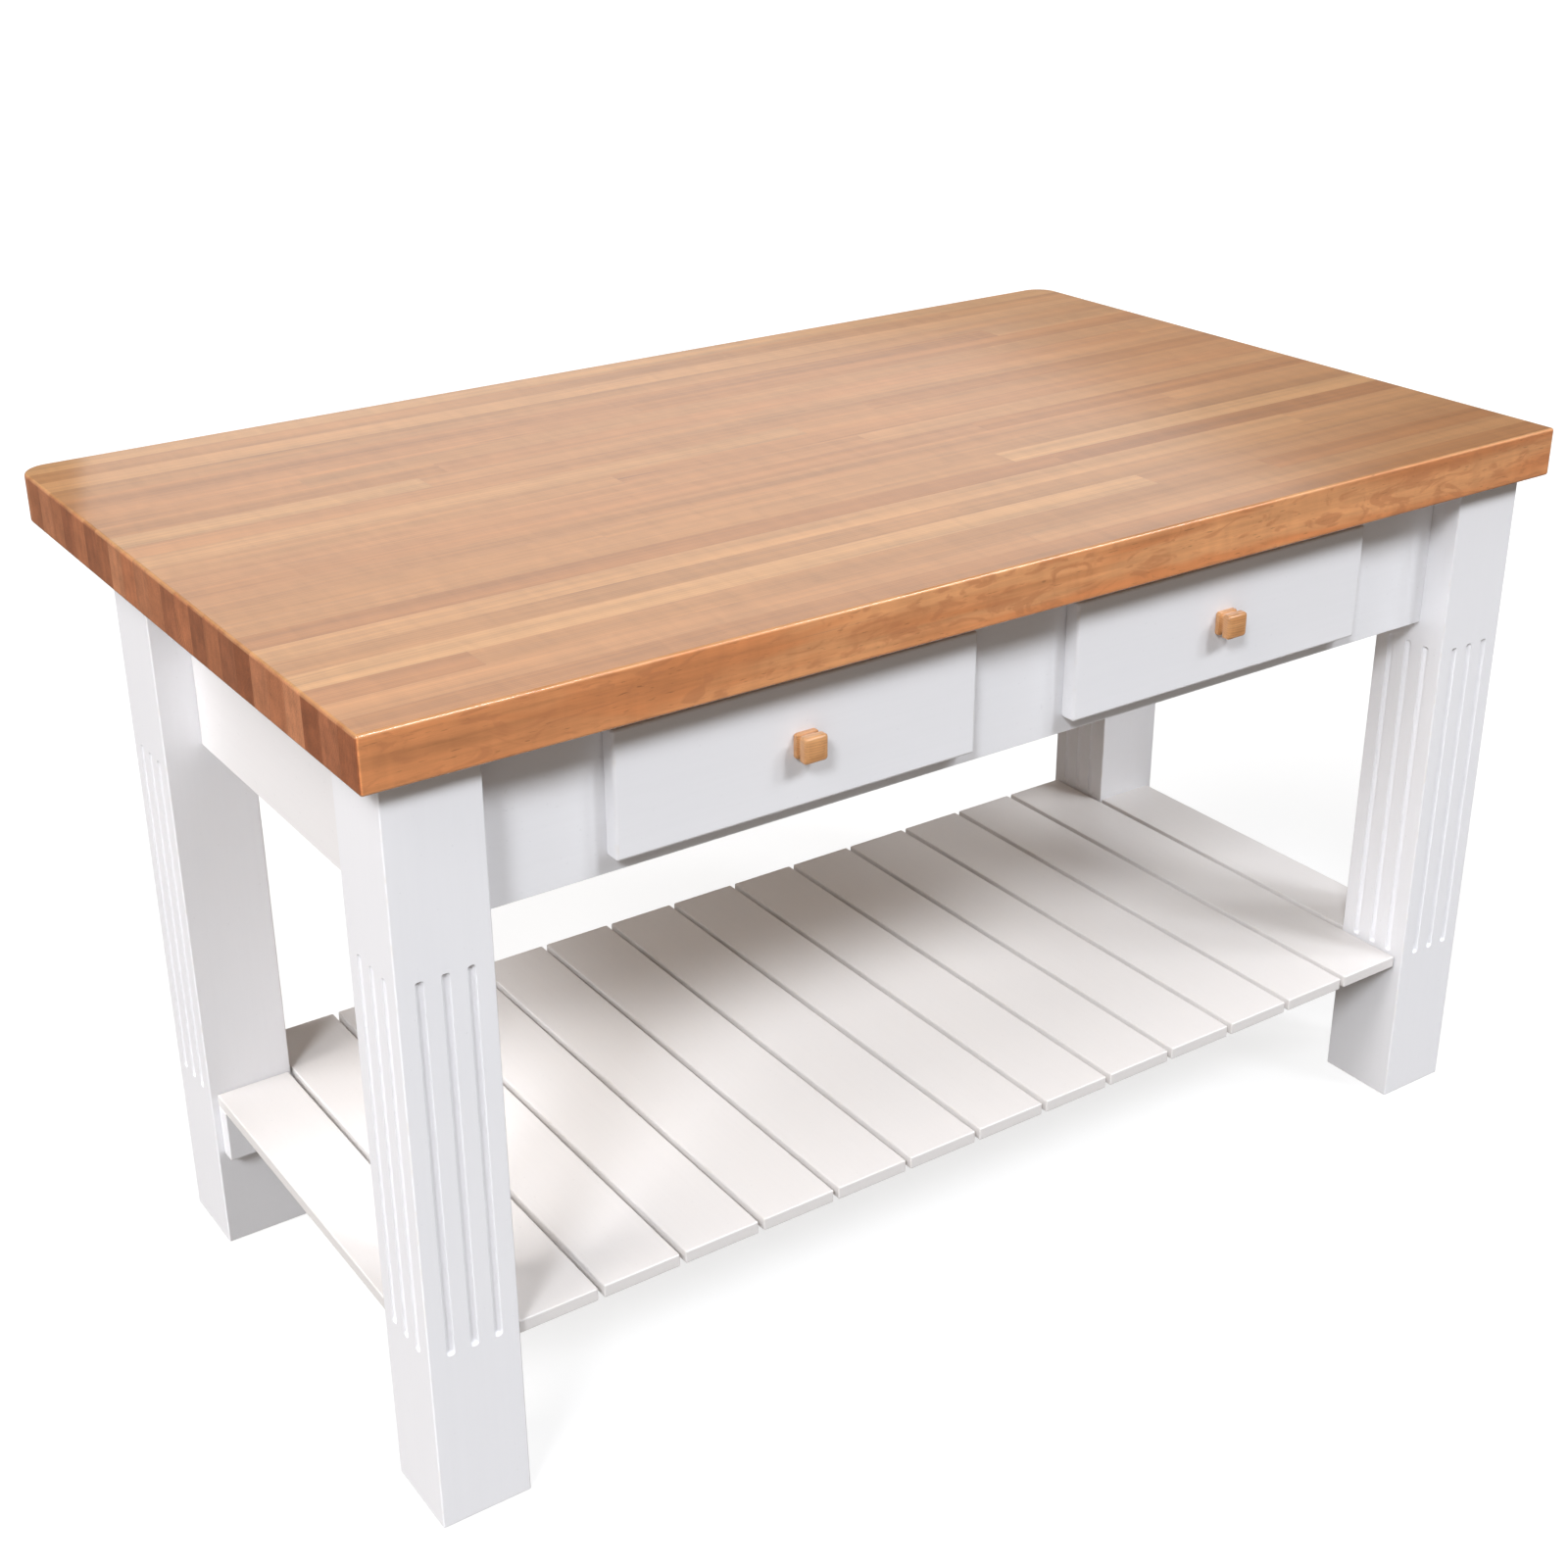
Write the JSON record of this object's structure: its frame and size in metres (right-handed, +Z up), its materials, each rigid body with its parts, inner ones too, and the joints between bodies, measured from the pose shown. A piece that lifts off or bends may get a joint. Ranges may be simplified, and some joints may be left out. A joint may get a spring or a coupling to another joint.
{
  "type": "butcher block table",
  "caption": "Thick laminated maple worktop on a white painted base with fluted square legs, sliding drawers and a slatted shelf; the worktop overhangs at the rear.",
  "frame": {"origin": "on the floor, under the middle of the worktop", "axes": "+X along the worktop's length to the right as seen from the drawers, +Y to the rear, away from the drawers, +Z up"},
  "size_m": [1.524, 0.9144, 0.889],
  "materials": {
    "worktop_maple": "edge-grain maple strips, semi-gloss oil and varnish",
    "white_paint": "warm white satin paint over wood",
    "knob_maple": "varnished maple",
    "drawer_maple": "clear-lacquered maple",
    "drawer_plywood": "clear-lacquered plywood",
    "bare_maple": "bare planed maple",
    "zinc_steel": "zinc plated steel"
  },
  "bodies": {
    "base": {"worktop": "worktop_maple", "leg_front_left": "white_paint", "leg_front_right": "white_paint", "leg_rear_left": "white_paint", "leg_rear_right": "white_paint", "apron_left": "white_paint", "apron_right": "white_paint", "apron_rear": "white_paint", "front_rail_top": "white_paint", "front_rail_bottom": "white_paint", "front_stile_left": "white_paint", "front_stile_centre": "white_paint", "front_stile_right": "white_paint", "corner_block_front_left": "bare_maple", "corner_block_front_right": "bare_maple", "corner_block_rear_left": "bare_maple", "corner_block_rear_right": "bare_maple", "shelf_rail_front": "white_paint", "shelf_rail_rear": "white_paint", "shelf_slat_01": "white_paint", "shelf_slat_02": "white_paint", "shelf_slat_03": "white_paint", "shelf_slat_04": "white_paint", "shelf_slat_05": "white_paint", "shelf_slat_06": "white_paint", "shelf_slat_07": "white_paint", "shelf_slat_08": "white_paint", "shelf_slat_09": "white_paint", "shelf_slat_10": "white_paint", "shelf_slat_11": "white_paint", "shelf_slat_12": "white_paint", "shelf_slat_13": "white_paint", "shelf_slat_end_left": "white_paint", "shelf_slat_end_right": "white_paint", "left_drawer_slide_left_cabinet": "zinc_steel", "left_drawer_slide_right_cabinet": "zinc_steel", "right_drawer_slide_left_cabinet": "zinc_steel", "right_drawer_slide_right_cabinet": "zinc_steel"},
    "left_drawer": {"left_drawer_front": "white_paint", "left_drawer_side_left": "drawer_maple", "left_drawer_side_right": "drawer_maple", "left_drawer_back": "drawer_maple", "left_drawer_bottom": "drawer_plywood", "left_drawer_knob": "knob_maple", "left_drawer_knob_screw": "zinc_steel", "left_drawer_slide_left_drawer": "zinc_steel", "left_drawer_slide_right_drawer": "zinc_steel"},
    "left_drawer_carriage": {"left_drawer_slide_left_middle": "zinc_steel", "left_drawer_slide_right_middle": "zinc_steel"},
    "right_drawer": {"right_drawer_front": "white_paint", "right_drawer_side_left": "drawer_maple", "right_drawer_side_right": "drawer_maple", "right_drawer_back": "drawer_maple", "right_drawer_bottom": "drawer_plywood", "right_drawer_knob": "knob_maple", "right_drawer_knob_screw": "zinc_steel", "right_drawer_slide_left_drawer": "zinc_steel", "right_drawer_slide_right_drawer": "zinc_steel"},
    "right_drawer_carriage": {"right_drawer_slide_left_middle": "zinc_steel", "right_drawer_slide_right_middle": "zinc_steel"}
  },
  "joints": [
    {"name": "left_drawer_slide", "type": "slide", "parent": "base", "child": "left_drawer", "axis": [0, -1, 0], "range_m": [0, 0.5]},
    {"name": "right_drawer_slide", "type": "slide", "parent": "base", "child": "right_drawer", "axis": [0, -1, 0], "range_m": [0, 0.5]},
    {"name": "left_carriage_slide", "type": "slide", "parent": "base", "child": "left_drawer_carriage", "axis": [0, -1, 0], "range_m": [0, 0.25]},
    {"name": "right_carriage_slide", "type": "slide", "parent": "base", "child": "right_drawer_carriage", "axis": [0, -1, 0], "range_m": [0, 0.25]}
  ],
  "couplings": [
    {"joint": "left_carriage_slide", "follows": "left_drawer_slide", "ratio": 0.5},
    {"joint": "right_carriage_slide", "follows": "right_drawer_slide", "ratio": 0.5}
  ]
}
